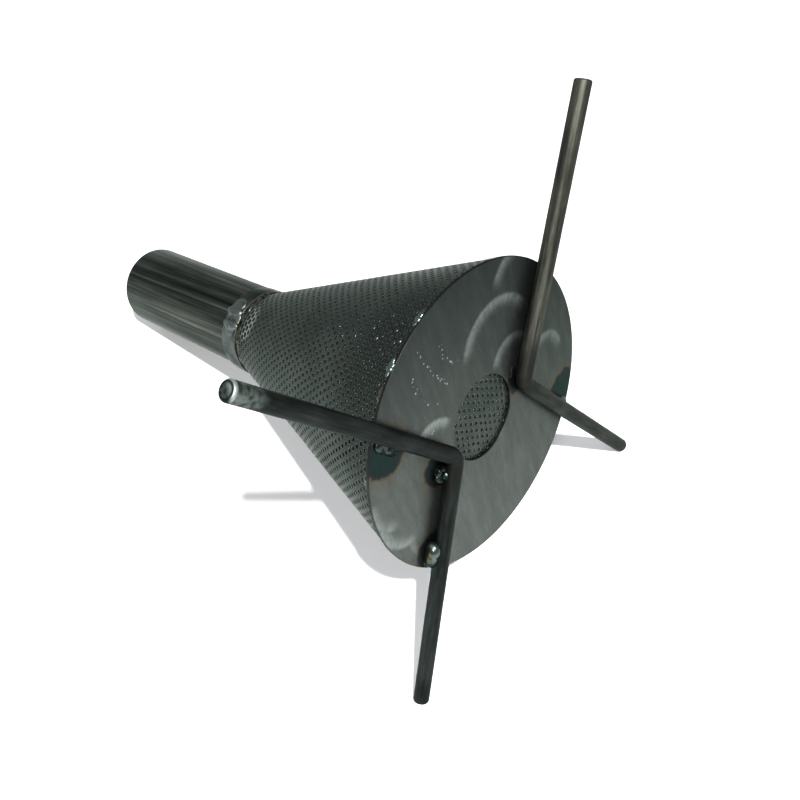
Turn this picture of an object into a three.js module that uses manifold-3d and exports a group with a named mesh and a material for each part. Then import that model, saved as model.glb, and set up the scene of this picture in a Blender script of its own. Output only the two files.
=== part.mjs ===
// Welded suction strainer: a plain steel tube, a cone of rolled perforated sheet, a flat end plate
// with a screened centre hole, and two bent round bars that stand the strainer off its surroundings.
//
// Every piece is built about the strainer's own axis: z = 0 is the outer face of the end plate and +z
// runs towards the tube. The whole assembly is then laid down as it lies on a bench, on the lower tip
// of each bar and on the rim of the tube, with +Z up, +Y from the plate towards the tube, and the
// origin on the bench under the middle of the object's box. Sizes are in millimetres.

import * as THREE from 'three';
import { mergeVertices } from 'three/addons/utils/BufferGeometryUtils.js';
import Module from 'manifold-3d';

const wasm = await Module();
wasm.setup();

// ---- driving dimensions -------------------------------------------------------------------------

const gap = 0.3; // clearance between pieces that touch

const plateRadius = 75;
const plateThickness = 1.5;
const plateHoleRadius = 21;

const coneApex = 232.7; // where the cone's outer face would close to a point
const coneTop = 150; // the cone's small end
const coneSheet = 1;

const tubeRadius = 24.15;
const tubeWall = 2.6;
const tubeStart = 144;
const tubeEnd = 268.5;

const collarStart = 153;
const collarEnd = 165;
const collarWall = 1.3;

const screenRadius = 25;
const screenSheet = 1;

const barRadius = 4;
const barBendRadius = 7;
const barBendAngle = 113.8; // between the two arms, in degrees
const barClockwiseArm = 134; // arm lengths, from the corner to the tip
const barAnticlockwiseArm = 138;

// Where each bar's corner lies about the axis and which way the mouth of its bend looks, in degrees.
const barPlaces = {
  a: { cornerRadius: 26.4, cornerAngle: -41.3, mouthAngle: -38.8 },
  b: { cornerRadius: 25.8, cornerAngle: 142.6, mouthAngle: 137.9 },
};

// Tack welds between bar and plate: the distance from the corner along an arm and from the bar's
// centre line to the side, positive into the mouth, and the bead's half length, width and height.
const barTacks = {
  bar_a_tack_corner: { bar: 'a', turn: -1, along: 5, side: -4.2, half: [4.5, 2.4, 2.6] },
  bar_a_tack_rim: { bar: 'a', turn: 1, along: 49, side: 4.6, half: [5.5, 4.2, 4] },
  bar_b_tack_rim: { bar: 'b', turn: 1, along: 45, side: 4.6, half: [6.5, 4.2, 4] },
  bar_b_tack_corner: { bar: 'b', turn: -1, along: 8.5, side: 4.6, half: [5, 4.6, 4] },
  bar_b_tack_lower: { bar: 'b', turn: -1, along: 49, side: 3.6, half: [6.5, 4.2, 5.5] },
};

const rimTackHalf = [4.6, 1.8, 2.2]; // half length round the rim, half width and half height
const rimTackAngles = [-170, -161, -143, -122, -85, -55, -28, 9, 45, 80, 119, 141, 161];

const screenTackHalf = [2.6, 2.2, 1.6];
const screenTackAngles = [60, 180, 300];

const collarWeldAngle = -166;
const collarWeldHeight = 159.5;
const collarWeldHalf = [6, 2.4, 5.5]; // round the collar, outwards and along the axis

const seamAngle = 15;
const seamHalfWidth = 1.8;
const seamHeight = 0.9;
const seamStart = 10; // clear of the rim tacks

const millScale = { color: 0x4c504d, roughness: 0.55, metalness: 0.6 };
const darkBar = { color: 0x3a3b38, roughness: 0.5, metalness: 0.6 };
const screenSteel = { color: 0x565a55, roughness: 0.5, metalness: 0.7 };
const sandedSteel = { color: 0x7b807e, roughness: 0.4, metalness: 0.8 };
const weldMetal = { color: 0x8a8d88, roughness: 0.35, metalness: 0.8 };

// ---- helpers ------------------------------------------------------------------------------------

const degrees = Math.PI / 180;

function polar(radius, angle, z = 0) {
  return new THREE.Vector3(radius * Math.cos(angle * degrees), radius * Math.sin(angle * degrees), z);
}

function coneRadiusAt(z) {
  return plateRadius * (1 - z / coneApex);
}

// A solid turned about z, from its closed outline of [radius, z] points, anticlockwise.
function turned(outline, segments) {
  const points = outline.map(([radius, z]) => new THREE.Vector2(radius, z));
  points.push(points[0].clone());
  return new THREE.LatheGeometry(points, segments).rotateX(Math.PI / 2);
}

function ring(inner, outer, low, high, segments) {
  return turned([[inner, low], [outer, low], [outer, high], [inner, high]], segments);
}

function disc(radius, low, high, segments) {
  const cylinder = new THREE.CylinderGeometry(radius, radius, high - low, segments);
  return cylinder.rotateX(Math.PI / 2).translate(0, 0, (low + high) / 2);
}

function solidOf(geometry) {
  const bare = geometry.clone();
  bare.deleteAttribute('normal');
  bare.deleteAttribute('uv');
  const merged = mergeVertices(bare, 1e-4);
  const vertProperties = new Float32Array(merged.attributes.position.array);
  const triVerts = new Uint32Array(merged.index.array);
  return new wasm.Manifold(new wasm.Mesh({ numProp: 3, vertProperties, triVerts }));
}

function geometryOf(solid) {
  const { vertProperties, triVerts } = solid.getMesh();
  const geometry = new THREE.BufferGeometry();
  geometry.setAttribute('position', new THREE.BufferAttribute(vertProperties, 3));
  geometry.setIndex(new THREE.BufferAttribute(triVerts, 1));
  geometry.computeVertexNormals();
  return geometry;
}

// What is left of a body once the tools are cut from it; only the largest piece is kept.
function cutBy(geometry, ...tools) {
  const left = tools.reduce((solid, tool) => solid.subtract(solidOf(tool)), solidOf(geometry));
  const pieces = left.decompose().sort((one, other) => other.volume() - one.volume());
  return geometryOf(pieces[0]);
}

// A weld bead: a rounded lump with the given half sizes, turned about z and set at its place.
function bead(half, place, angle) {
  const lump = new THREE.SphereGeometry(1, 14, 9);
  return lump.scale(...half).rotateZ(angle * degrees).translate(place.x, place.y, place.z);
}

const assembly = new THREE.Group();

function add(name, geometry, finish) {
  const mesh = new THREE.Mesh(geometry, new THREE.MeshStandardMaterial(finish));
  mesh.name = name;
  assembly.add(mesh);
  return mesh;
}

// ---- tube, collar and the weld between collar and cone ------------------------------------------

add('outlet_tube', ring(tubeRadius - tubeWall, tubeRadius, tubeStart, tubeEnd, 48), millScale);

const collarInner = tubeRadius + gap;
const collarOuter = collarInner + collarWall;
add('neck_collar', ring(collarInner, collarOuter, collarStart, collarEnd, 48), millScale);

const neckWeldOutline = [
  [collarInner, coneTop + gap],
  [coneRadiusAt(coneTop) - 0.4, coneTop + gap],
  [coneRadiusAt(coneTop) - 0.2, (coneTop + collarStart) / 2],
  [collarOuter - 0.2, collarStart - gap],
  [collarInner, collarStart - gap],
];
add('neck_weld', turned(neckWeldOutline, 48), weldMetal);

const collarWeldPlace = polar(collarOuter, collarWeldAngle, collarWeldHeight);
const collarSpace = disc(collarOuter + gap, coneTop, collarEnd + 10, 48);
const collarWeld = bead(collarWeldHalf, collarWeldPlace, collarWeldAngle + 90);
add('collar_weld', cutBy(collarWeld, collarSpace), weldMetal);

// ---- perforated cone and its lengthwise seam ----------------------------------------------------

const coneBase = plateThickness + gap;
const coneSlope = Math.atan(plateRadius / coneApex);
const coneInset = coneSheet / Math.cos(coneSlope);
const coneOutline = [
  [coneRadiusAt(coneBase) - coneInset, coneBase],
  [coneRadiusAt(coneBase), coneBase],
  [coneRadiusAt(coneTop), coneTop],
  [coneRadiusAt(coneTop) - coneInset, coneTop],
];
add('strainer_cone', turned(coneOutline, 72), screenSteel);

// The seam lies along the cone on the -y side of a turned group, so its section bulges towards -y.
function seamBead() {
  const section = new THREE.Shape();
  section.moveTo(-seamHalfWidth, 0);
  section.quadraticCurveTo(0, -2 * seamHeight, seamHalfWidth, 0);
  section.closePath();
  const depth = (coneTop - seamStart) / Math.cos(coneSlope);
  const body = new THREE.ExtrudeGeometry(section, { depth, bevelEnabled: false, curveSegments: 6 });
  const seam = add('cone_seam_weld', body, weldMetal);
  seam.rotation.x = -coneSlope;
  seam.position.set(0, -coneRadiusAt(seamStart) - gap - 0.1, seamStart);
  const foot = new THREE.Group();
  foot.rotation.z = (seamAngle + 90) * degrees;
  foot.add(seam);
  assembly.add(foot);
}
seamBead();

// ---- end plate and the screen behind its hole ---------------------------------------------------

add('end_plate', ring(plateHoleRadius, plateRadius, 0, plateThickness, 96), sandedSteel);

const screenFace = plateThickness + gap;
const screenBack = screenFace + screenSheet;
add('hole_screen', disc(screenRadius, screenFace, screenBack, 48), screenSteel);

screenTackAngles.forEach((angle, index) => {
  const lump = bead(screenTackHalf, polar(screenRadius + 0.8, angle, screenBack), angle + 90);
  const plateSpace = disc(plateRadius, -gap, plateThickness + gap, 24);
  const screenSpace = disc(screenRadius + gap, 0, screenBack + gap, 48);
  add(`screen_tack_${index + 1}`, cutBy(lump, plateSpace, screenSpace), weldMetal);
});

// ---- tack welds round the rim -------------------------------------------------------------------

const rimSpace = turned([
  [0, -10],
  [plateRadius + gap, -10],
  [plateRadius + gap, plateThickness + gap],
  [coneRadiusAt(coneBase) + gap, coneBase + 0.01],
  [coneRadiusAt(coneBase + 20) + gap, coneBase + 20],
  [0, coneBase + 20],
], 96);

rimTackAngles.forEach((angle, index) => {
  const lump = bead(rimTackHalf, polar(plateRadius, angle, plateThickness + 1), angle + 90);
  add(`rim_tack_${index + 1}`, cutBy(lump, rimSpace), weldMetal);
});

// ---- bent bars and their tack welds -------------------------------------------------------------

// A bar's centre line: the anticlockwise arm from its tip, an arc that rounds the corner, and the
// clockwise arm. The curve is walked by station and not by length, so most steps fall on the arc.
class BarLine extends THREE.Curve {
  constructor(place) {
    super();
    this.mouthAngle = place.mouthAngle;
    this.turn = 180 - barBendAngle;
    this.arcSteps = 8;
    this.corner = polar(place.cornerRadius, place.cornerAngle, -(barRadius + gap));
    const halfSine = Math.sin(barBendAngle / 2 * degrees);
    this.centre = this.corner.clone().addScaledVector(polar(1, this.mouthAngle), barBendRadius / halfSine);
    this.tips = {
      '-1': this.corner.clone().addScaledVector(this.arm(-1), barClockwiseArm),
      1: this.corner.clone().addScaledVector(this.arm(1), barAnticlockwiseArm),
    };
  }

  // The direction of an arm: -1 is the clockwise arm and 1 the anticlockwise one.
  arm(turn) {
    return polar(1, this.mouthAngle + turn * barBendAngle / 2);
  }

  arcPoint(share) {
    const angle = this.mouthAngle + 180 + this.turn * (share - 0.5);
    return this.centre.clone().add(polar(barBendRadius, angle));
  }

  getUtoTmapping(u) {
    return u;
  }

  getPoint(t) {
    const station = t * (this.arcSteps + 2) - 1;
    if (station < 0) {
      return this.arcPoint(0).lerp(this.tips[1], -station);
    }
    if (station > this.arcSteps) {
      return this.arcPoint(1).lerp(this.tips[-1], station - this.arcSteps);
    }
    return this.arcPoint(station / this.arcSteps);
  }
}

function barAlong(line, radius) {
  const section = new THREE.Shape().absarc(0, 0, radius, 0, 2 * Math.PI, false);
  const steps = line.arcSteps + 2;
  return new THREE.ExtrudeGeometry(section, { steps, extrudePath: line, curveSegments: 16 });
}

const barLines = {};
for (const [letter, place] of Object.entries(barPlaces)) {
  barLines[letter] = new BarLine(place);
  add(`standoff_bar_${letter}`, barAlong(barLines[letter], barRadius), darkBar);
}

const plateFaceSpace = disc(plateRadius + 2, -gap, plateThickness, 48);
for (const [name, tack] of Object.entries(barTacks)) {
  const line = barLines[tack.bar];
  const arm = line.arm(tack.turn);
  const intoMouth = new THREE.Vector3(tack.turn * arm.y, -tack.turn * arm.x, 0);
  const place = line.corner.clone().addScaledVector(arm, tack.along).addScaledVector(intoMouth, tack.side);
  place.z = -1;
  const armAngle = Math.atan2(arm.y, arm.x) / degrees;
  const lump = bead(tack.half, place, armAngle);
  add(name, cutBy(lump, plateFaceSpace, barAlong(line, barRadius + gap)), weldMetal);
}

// ---- the assembly laid on a bench ---------------------------------------------------------------

// The lowest point of a round rim about a centre, for a given direction down and rim axis.
function lowestOnRim(centre, axis, radius, down) {
  const across = down.clone().addScaledVector(axis, -down.dot(axis)).normalize();
  return centre.clone().addScaledVector(across, radius);
}

// The strainer rests on three rims. The plane through their lowest points sets which way is down,
// and that in turn sets their lowest points, so the two are worked out together.
function restingDown() {
  const axis = new THREE.Vector3(0, 0, 1);
  const left = barLines.b;
  const right = barLines.a;
  let down = polar(1, 50);
  for (let pass = 0; pass < 12; pass += 1) {
    const tubeFoot = lowestOnRim(new THREE.Vector3(0, 0, tubeEnd), axis, tubeRadius, down);
    const leftFoot = lowestOnRim(left.tips[-1], left.arm(-1), barRadius, down);
    const rightFoot = lowestOnRim(right.tips[1], right.arm(1), barRadius, down);
    down = leftFoot.sub(tubeFoot).cross(rightFoot.sub(tubeFoot)).normalize();
    if (down.dot(polar(1, 50)) < 0) {
      down.negate();
    }
  }
  return down;
}

const up = restingDown().negate();
const forward = new THREE.Vector3(0, 0, 1).addScaledVector(up, -up.z).normalize();
const sideways = forward.clone().cross(up);
const layDown = new THREE.Matrix4().makeBasis(sideways, forward, up).transpose();
assembly.quaternion.setFromRotationMatrix(layDown);

const strainer = new THREE.Group();
strainer.name = 'suction_strainer';
strainer.add(assembly);
const box = new THREE.Box3().setFromObject(strainer, true);
const middle = box.getCenter(new THREE.Vector3());
assembly.position.set(-middle.x, -middle.y, -box.min.z);
strainer.updateMatrixWorld(true);

export default strainer;
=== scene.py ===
import math
import random

import bmesh
import bpy
from mathutils import Matrix, Vector, noise


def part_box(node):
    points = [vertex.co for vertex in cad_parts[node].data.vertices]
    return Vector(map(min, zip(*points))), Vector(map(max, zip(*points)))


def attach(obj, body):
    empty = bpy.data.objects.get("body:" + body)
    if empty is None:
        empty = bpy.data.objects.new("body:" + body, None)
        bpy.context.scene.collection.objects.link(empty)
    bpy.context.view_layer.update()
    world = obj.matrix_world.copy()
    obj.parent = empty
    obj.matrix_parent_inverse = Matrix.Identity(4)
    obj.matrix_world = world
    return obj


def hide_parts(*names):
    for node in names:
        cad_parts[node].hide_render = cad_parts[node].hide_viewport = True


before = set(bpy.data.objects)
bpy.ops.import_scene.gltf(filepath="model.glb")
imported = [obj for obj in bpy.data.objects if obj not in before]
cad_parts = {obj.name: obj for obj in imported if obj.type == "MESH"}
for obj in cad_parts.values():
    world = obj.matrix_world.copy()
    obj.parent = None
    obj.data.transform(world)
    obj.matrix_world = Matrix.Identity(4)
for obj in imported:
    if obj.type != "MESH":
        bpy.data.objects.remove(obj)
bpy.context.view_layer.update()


# ---- Outlet tube --------------------------------------------------------------------------------
# A sawn length of plain 48.3 mm steel pipe, left as it comes from the mill: dark scale with grey
# and brown streaks drawn along it. The strainer lies with this tube's axis sloping to the bench, so
# every piece is built in the strainer's own axes: x level to the right and y upwards as the end
# plate is looked at, and z out of the plate's face, so that the tube runs away along -z.

def middle(node):
    low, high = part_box(node)
    return (low + high) / 2


def across(node):
    low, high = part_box(node)
    return high.x - low.x


plate_radius = across("end_plate") / 2
plate_sheet = 0.0015
tube_axis = (middle("outlet_tube") - middle("end_plate")).normalized()
level = Vector((1, 0, 0))
upward = level.cross(tube_axis)
plate_face = middle("end_plate") - tube_axis * plate_sheet / 2
strainer_axes = Matrix((level, upward, -tube_axis)).transposed().to_4x4()
strainer_axes.translation = plate_face
into_strainer = strainer_axes.inverted()


def spoke(angle):
    """A unit direction in the plate's plane, at an angle from +x in radians."""
    return Vector((math.cos(angle), math.sin(angle), 0))


def away(node):
    """How far a turned node's two ends lie behind the plate's outer face, along the tube's axis."""
    lean = math.sqrt(1 - tube_axis.y ** 2)
    low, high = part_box(node)
    half = ((high.y - low.y) - across(node) * lean) / tube_axis.y / 2
    centre = (middle(node) - plate_face).dot(tube_axis)
    return centre - half, centre + half


def rounded(outline, reach, steps=4):
    """A closed outline of (radius, depth) points with each corner rounded off over that reach."""
    points = []
    for index, corner in enumerate(outline):
        corner = Vector(corner)
        before = (Vector(outline[index - 1]) - corner).normalized()
        after = (Vector(outline[(index + 1) % len(outline)]) - corner).normalized()
        for step in range(steps + 1):
            share = step / steps
            start = corner + before * reach * (1 - share)
            end = corner + after * reach * share
            points.append(start.lerp(end, share))
    return points


def piece_from(name, vertices, faces, sharp_angle=40):
    """A shaded object in the strainer's axes, smooth except across its sharp edges."""
    mesh = bpy.data.meshes.new(name)
    mesh.from_pydata([tuple(v) for v in vertices], [], faces)
    work = bmesh.new()
    work.from_mesh(mesh)
    bmesh.ops.recalc_face_normals(work, faces=work.faces)
    for face in work.faces:
        face.smooth = True
    for edge in work.edges:
        gentle = edge.calc_face_angle(0) < math.radians(sharp_angle)
        edge.smooth = gentle and len(edge.link_faces) == 2
    work.to_mesh(mesh)
    work.free()
    piece = bpy.data.objects.new(name, mesh)
    piece.matrix_world = strainer_axes
    bpy.context.scene.collection.objects.link(piece)
    return piece


def quads(rings, around, closed=False):
    """The faces between rings of vertices that follow each other in one list."""
    faces = []
    for ring in range(rings if closed else rings - 1):
        following = (ring + 1) % rings
        for step in range(around):
            beside = (step + 1) % around
            faces.append((ring * around + step, ring * around + beside,
                          following * around + beside, following * around + step))
    return faces


def turned(name, outline, steps, wobble=0.0, seed=0, centre=None):
    """A ring turned from a closed outline of (radius, depth) points, with a little hand-made wobble.
    centre gives how far off the strainer's axis the ring's middle lies at a depth."""
    waves_per_metre = 160
    vertices = []
    for step in range(steps):
        angle = 2 * math.pi * step / steps
        for radius, depth in outline:
            place = Vector((math.cos(angle) * radius, math.sin(angle) * radius, -depth))
            grow = wobble * noise.noise(place * waves_per_metre + Vector((seed, 0, 0)))
            place += spoke(angle) * grow
            vertices.append(place + centre(depth) if centre else place)
    return piece_from(name, vertices, quads(steps, len(outline), closed=True))


def finish(name):
    """A new material with its node tree and shader, its shine toned down to bare oily steel."""
    material = bpy.data.materials.new(name)
    material.use_nodes = True
    tree = material.node_tree
    shader = tree.nodes["Principled BSDF"]
    shader.inputs["Specular Tint"].default_value = (0.48, 0.51, 0.49, 1)
    return material, tree, shader


def node(tree, kind, settings=None, **inputs):
    """Adds a node, with its own settings by name and its inputs as values or as links."""
    added = tree.nodes.new(kind)
    for key, value in (settings or {}).items():
        setattr(added, key, value)
    for key, value in inputs.items():
        socket = added.inputs[int(key[1:]) if key[0] == "i" and key[1:].isdigit() else key]
        if isinstance(value, bpy.types.NodeSocket):
            tree.links.new(value, socket)
        else:
            socket.default_value = value
    return added


def mapped(tree, where, stretch=(1, 1, 1), turn=0.0):
    """A place squeezed along an axis, so that a grain runs along it, and turned about z."""
    added = node(tree, "ShaderNodeMapping", Vector=where, Rotation=(0, 0, turn), Scale=stretch)
    return added.outputs["Vector"]


def coordinates(tree, stretch=(1, 1, 1)):
    """The piece's own coordinates in metres, in the strainer's axes."""
    return mapped(tree, node(tree, "ShaderNodeTexCoord").outputs["Object"], stretch)


def grain(tree, where, scale, detail=4.0, roughness=0.55):
    """Cloudy noise between 0 and 1, with its scale in waves a metre."""
    added = node(tree, "ShaderNodeTexNoise", Vector=where, Scale=scale, Detail=detail,
                 Roughness=roughness)
    return added.outputs["Fac"]


def ramp(tree, value, stops):
    """A colour for each value, from (position, colour) stops; a single number gives a grey."""
    added = node(tree, "ShaderNodeValToRGB", Fac=value)
    points = added.color_ramp.elements
    while len(points) < len(stops):
        points.new(0.5)
    for point, (position, colour) in zip(points, stops):
        point.position = position
        shade = colour if isinstance(colour, tuple) else (colour, colour, colour)
        point.color = (*shade, 1)
    return added.outputs["Color"]


def mixed(tree, factor, first, second, how="MIX"):
    added = node(tree, "ShaderNodeMix", {"data_type": "RGBA", "blend_type": how}, i0=factor)
    for value, socket in ((first, added.inputs[6]), (second, added.inputs[7])):
        if isinstance(value, bpy.types.NodeSocket):
            tree.links.new(value, socket)
        else:
            socket.default_value = (*value, 1)
    return added.outputs[2]


def sums(tree, how, first, second=0.0):
    return node(tree, "ShaderNodeMath", {"operation": how}, i0=first, i1=second).outputs[0]


def times(tree, first, second):
    return sums(tree, "MULTIPLY", first, second)


def plus(tree, first, second, share=1.0):
    """Adds a share of the second number to the first."""
    return sums(tree, "ADD", first, times(tree, second, share) if share != 1.0 else second)


def measured(tree, how, first, second=(0, 0, 0)):
    """One number from vectors: their dot product, the distance between them, or a length."""
    added = node(tree, "ShaderNodeVectorMath", {"operation": how}, i0=first, i1=second)
    return added.outputs["Value"]


def span(tree, value, low, high, first=0.0, last=1.0, how="SMOOTHSTEP"):
    """Goes from first to last while a value goes from low to high."""
    added = node(tree, "ShaderNodeMapRange", {"interpolation_type": how}, i0=value,
                 i1=low, i2=high, i3=first, i4=last)
    return added.outputs[0]


def relief(tree, height, depth, strength):
    """The shading normal of a rough surface, from a height of 0 to 1 and its depth in metres."""
    added = node(tree, "ShaderNodeBump", Height=height, Distance=depth, Strength=strength)
    return added.outputs["Normal"]


def surfaced(tree, shader, colour, rough, normal, metal):
    for socket, value in (("Base Color", colour), ("Roughness", rough), ("Normal", normal)):
        tree.links.new(value, shader.inputs[socket])
    shader.inputs["Metallic"].default_value = metal


pipe_wall = 0.0026
pipe_edge = 0.0005
sagging_side = Vector((-0.72, -0.69, 0))  # the neck, collar and pipe all sit off to this side
pipe_lean = sagging_side * 0.0010 / 0.062  # the pipe was welded a little out of square
pipe_true_at = 0.215


def pipe_centre(depth):
    return pipe_lean * (pipe_true_at - depth)


pipe_radius = across("outlet_tube") / 2
pipe_start, pipe_end = away("outlet_tube")


def mill_scale():
    material, tree, shader = finish("pipe_mill_scale")
    along = coordinates(tree, (1, 1, 0.018))
    bands = grain(tree, along, 130, detail=3)
    lines = grain(tree, along, 620, detail=5, roughness=0.6)
    patches = grain(tree, coordinates(tree, (1, 1, 0.25)), 90, detail=5)
    scale_colour = ramp(tree, bands, [(0.34, (0.014, 0.018, 0.016)), (0.47, (0.038, 0.044, 0.040)),
                                      (0.57, (0.072, 0.080, 0.071)), (0.70, (0.150, 0.162, 0.148))])
    line_colour = ramp(tree, lines, [(0.36, 0.25), (0.50, 0.8), (0.64, 1.6)])
    streaked = mixed(tree, 0.75, scale_colour, line_colour, "MULTIPLY")
    worn = ramp(tree, patches, [(0.40, (0.55, 0.58, 0.56)), (0.62, (1.15, 1.10, 1.02))])
    surfaced(tree, shader, mixed(tree, 0.6, streaked, worn, "MULTIPLY"),
             ramp(tree, lines, [(0.3, 0.30), (0.7, 0.46)]), relief(tree, lines, 0.0004, 0.35), 0.85)
    return material


pipe_outline = rounded([(pipe_radius - pipe_wall, pipe_start), (pipe_radius, pipe_start),
                        (pipe_radius, pipe_end), (pipe_radius - pipe_wall, pipe_end)], pipe_edge)
outlet_tube = turned("outlet_pipe", pipe_outline, 160, centre=pipe_centre)
outlet_tube.data.materials.append(mill_scale())
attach(outlet_tube, "root")
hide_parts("outlet_tube")


# ---- Neck collar --------------------------------------------------------------------------------
# A narrow band of plain sheet rolled round the pipe where the cone ends. It hides the joint. Its
# edge towards the cone carries a painted highlight, and its upper side is painted darker.

collar_radius = across("neck_collar") / 2
collar_start, collar_end = away("neck_collar")
collar_inside = pipe_radius - 0.0007
collar_edge = 0.0005
collar_offset = sagging_side * 0.0007
# Width of the painted highlight along the collar's edge towards the cone.
highlight_width = 0.0016


def collar_steel():
    material, tree, shader = finish("rolled_band_steel")
    around = coordinates(tree)
    clouds = grain(tree, around, 110, detail=4)
    fine = grain(tree, coordinates(tree, (1, 1, 0.2)), 900, detail=4)
    plain = ramp(tree, clouds, [(0.38, (0.040, 0.050, 0.046)), (0.60, (0.096, 0.110, 0.102))])
    depth = measured(tree, "DOT_PRODUCT", around, (0, 0, 1))
    # Painted highlight: the band along the edge towards the cone is painted lighter.
    cone_edge_highlight = span(tree, depth, -collar_start - highlight_width, -collar_start, how="LINEAR")
    # The collar's upper side is painted darker.
    upper_side = measured(tree, "DOT_PRODUCT", around, (0.60, 0.80, 0))
    upper_darkening = span(tree, upper_side, 0.012, 0.021, 0.0, 0.85, how="LINEAR")
    plain = mixed(tree, upper_darkening, plain, (0.012, 0.017, 0.015))
    surfaced(tree, shader, mixed(tree, cone_edge_highlight, plain, (0.085, 0.090, 0.082)),
             ramp(tree, fine, [(0.3, 0.28), (0.7, 0.42)]), relief(tree, fine, 0.0002, 0.3), 0.9)
    return material


collar_outline = rounded([(collar_inside, collar_start), (collar_radius - 0.0004, collar_start),
                          (collar_radius - 0.0007, collar_end), (collar_inside, collar_end)],
                         collar_edge)
neck_collar = turned("neck_band", collar_outline, 160, wobble=0.0004, seed=3,
                     centre=lambda depth: pipe_centre(depth) + collar_offset)
neck_collar.data.materials.append(collar_steel())
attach(neck_collar, "root")
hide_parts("neck_collar")


# ---- Collar weld --------------------------------------------------------------------------------
# One heavy puddle of weld with two lobes, run over the collar's edge to hold it to the cone.

def node_place(name):
    """The middle of a node in the strainer's axes."""
    return into_strainer @ middle(name)


def weld_bead(name, lumps, ripple, seed, fineness=0.0004):
    """Fused metal: overlapping lumps of (place, half sizes, turn, tilt) melted into one skin."""
    coarse_waves, fine_waves = 380, 900
    work = bmesh.new()
    for place, half, turn, tilt in lumps:
        made = bmesh.ops.create_icosphere(work, subdivisions=4, radius=1)
        swing = Matrix.Rotation(turn, 4, "Z") @ Matrix.Rotation(tilt, 4, "Y")
        shape = Matrix.Translation(place) @ swing @ Matrix.Diagonal((*half, 1))
        bmesh.ops.transform(work, matrix=shape, verts=made["verts"])
    rough = bpy.data.meshes.new(name + "_lumps")
    work.to_mesh(rough)
    work.free()
    bead = bpy.data.objects.new(name, rough)
    bead.matrix_world = strainer_axes
    bpy.context.scene.collection.objects.link(bead)
    fused = bead.modifiers.new("fused", "REMESH")
    fused.mode = "VOXEL"
    fused.voxel_size = fineness
    settled = bead.modifiers.new("settled", "SMOOTH")
    settled.factor = 0.5
    settled.iterations = 8
    melted = bead.evaluated_get(bpy.context.evaluated_depsgraph_get())
    skin = bpy.data.meshes.new_from_object(melted)
    bead.modifiers.clear()
    bead.data = skin
    normals = [vertex.normal.copy() for vertex in skin.vertices]
    for vertex, normal in zip(skin.vertices, normals):
        shift = noise.noise(vertex.co * coarse_waves + Vector((seed, 0, 0)))
        shift += 0.5 * noise.noise(vertex.co * fine_waves + Vector((0, seed, 0)))
        vertex.co += normal * shift * ripple
    for face in skin.polygons:
        face.use_smooth = True
    bead.data.name = name
    return bead


def offset_from(tree, where, place):
    """How far across and up a point lies from a place, whatever the place's depth."""
    return node(tree, "ShaderNodeVectorMath", {"operation": "SUBTRACT"}, i0=where,
                i1=(place[0], place[1], 0)).outputs[0]


def weld_steel(name, clean, tint, scorch, tint_share, scorch_share, shine, crater=None,
               flanks=None):
    """Bare weld metal, tinted by heat in some places and scorched in others. crater is the place and
    reach of the dark hollow where the arc was lifted off. flanks is a place and the direction from
    it to the bead's two tinted sides."""
    material, tree, shader = finish(name)
    where = coordinates(tree)
    broad = grain(tree, where, 210, detail=3)
    spread = grain(tree, where, 330, detail=4)
    fine = grain(tree, where, 1500, detail=3)
    tinted = span(tree, broad, 0.62 - tint_share, 0.72 - tint_share)
    scorched = span(tree, spread, 0.66 - scorch_share, 0.76 - scorch_share)
    colour = mixed(tree, scorched, mixed(tree, tinted, clean, tint), scorch)
    if flanks:
        off_middle = offset_from(tree, where, flanks[0])
        aside = sums(tree, "ABSOLUTE", measured(tree, "DOT_PRODUCT", off_middle, flanks[1]))
        colour = mixed(tree, span(tree, aside, 0.0021, 0.0029, 0.0, 0.7), colour, tint)
    if crater:
        hollow = measured(tree, "DISTANCE", where, crater[0])
        near = plus(tree, hollow, broad, 0.002)
        within = span(tree, near, crater[1], crater[1] + 0.0022, 0.95, 0.0)
        colour = mixed(tree, within, colour, scorch)
    surfaced(tree, shader, colour, ramp(tree, spread, [(0.35, shine), (0.7, shine + 0.18)]),
             relief(tree, fine, 0.00012, 0.35), 0.95)
    return material


weld_middle = node_place("collar_weld")
weld_turn = math.atan2(weld_middle.y, weld_middle.x)


def on_neck(swing, reach, depth):
    """A place a swing in degrees round the neck from the middle of the puddle."""
    angle = weld_turn + math.radians(swing)
    return Vector((math.cos(angle) * reach, math.sin(angle) * reach, -depth))


# Each lump: its swing in degrees, how far it is sunk in the collar, its depth, its half sizes, and
# its turn and tilt in radians. The first two are the lobes.
collar_lumps = [
    (on_neck(swing, collar_radius - sunk, depth), half, weld_turn + turn, tilt)
    for swing, sunk, depth, half, turn, tilt in [
        (-8.5, 0.0008, 0.1592, (0.0022, 0.0031, 0.0066), -0.15, 0.04),
        (8.5, 0.0007, 0.1588, (0.0023, 0.0034, 0.0068), 0.15, 0.05),
        (0, 0.0010, 0.1585, (0.0012, 0.0070, 0.0060), 0.0, 0.0),
        (-20, 0.0012, 0.1590, (0.0012, 0.0040, 0.0048), -0.35, 0.0),
        (20, 0.0012, 0.1590, (0.0012, 0.0038, 0.0048), 0.35, 0.0)]]
bright_weld = weld_steel("bright_weld_metal", (0.120, 0.138, 0.132), (0.070, 0.076, 0.066),
                         (0.028, 0.036, 0.034), 0.06, 0.06, 0.32)
collar_weld = weld_bead("collar_puddle", collar_lumps, 0.00022, 5)
collar_weld.data.materials.append(bright_weld)
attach(collar_weld, "root")
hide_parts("collar_weld")


# ---- Perforated cone ----------------------------------------------------------------------------
# One blank of 1 mm steel sheet, punched with round holes in staggered rows, cut to a sector and
# rolled into a cone. The rows stay straight in the flat blank, so they curve across the cone, and
# the blank's edges run through holes and leave them open. The mesh comes in four rolled quarters.

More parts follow.
